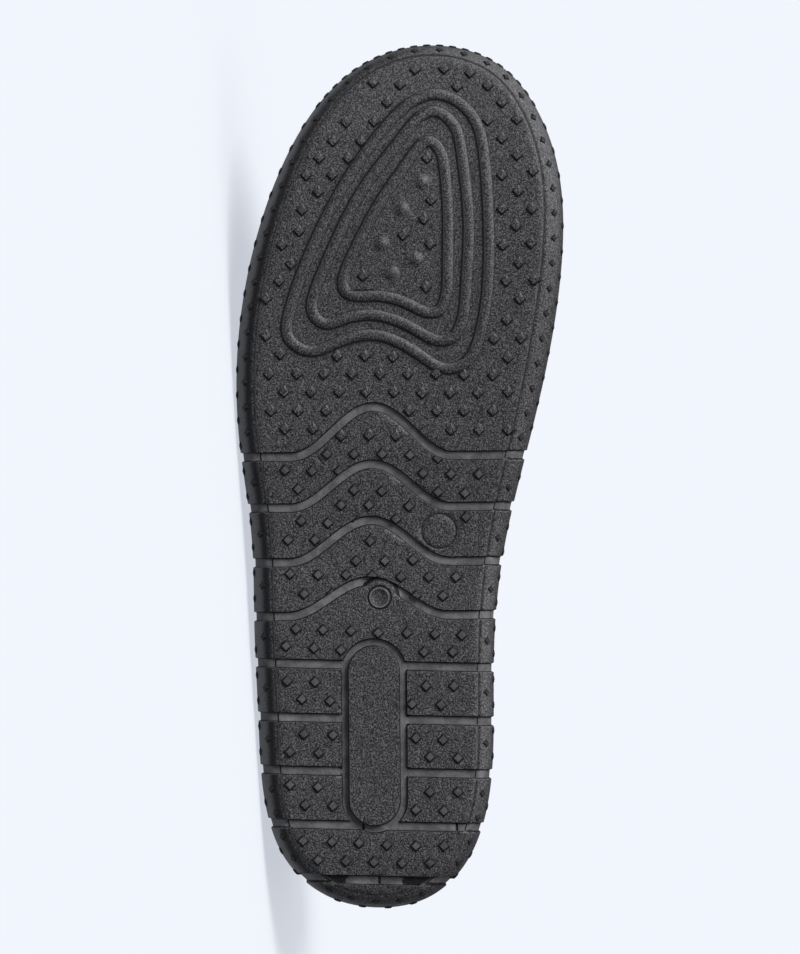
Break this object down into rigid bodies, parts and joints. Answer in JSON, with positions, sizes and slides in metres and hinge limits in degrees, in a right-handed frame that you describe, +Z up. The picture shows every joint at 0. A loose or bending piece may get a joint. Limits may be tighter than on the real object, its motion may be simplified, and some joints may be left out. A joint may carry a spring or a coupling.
{
  "type": "water shoe",
  "caption": "Slip-on water shoe for the right foot: moulded rubber cup sole with grooved and ridged tread, stretch upper and insole, lying on its side.",
  "frame": {"origin": "middle of the shoe's bounding box, on the floor that it lies on", "axes": "+Z up; the shoe lies on its outer side with its toe towards -X, its tread facing -Y and slightly up, and its collar facing +Y"},
  "size_m": [0.2784, 0.0918, 0.1088],
  "materials": {
    "black_rubber": "matt, finely grained",
    "stretch_cloth": "matt knitted cloth",
    "foam_insole": "matt cloth-faced foam"
  },
  "bodies": {
    "root": {"outsole": "black_rubber", "upper": "stretch_cloth", "insole": "foam_insole"}
  },
  "joints": []
}
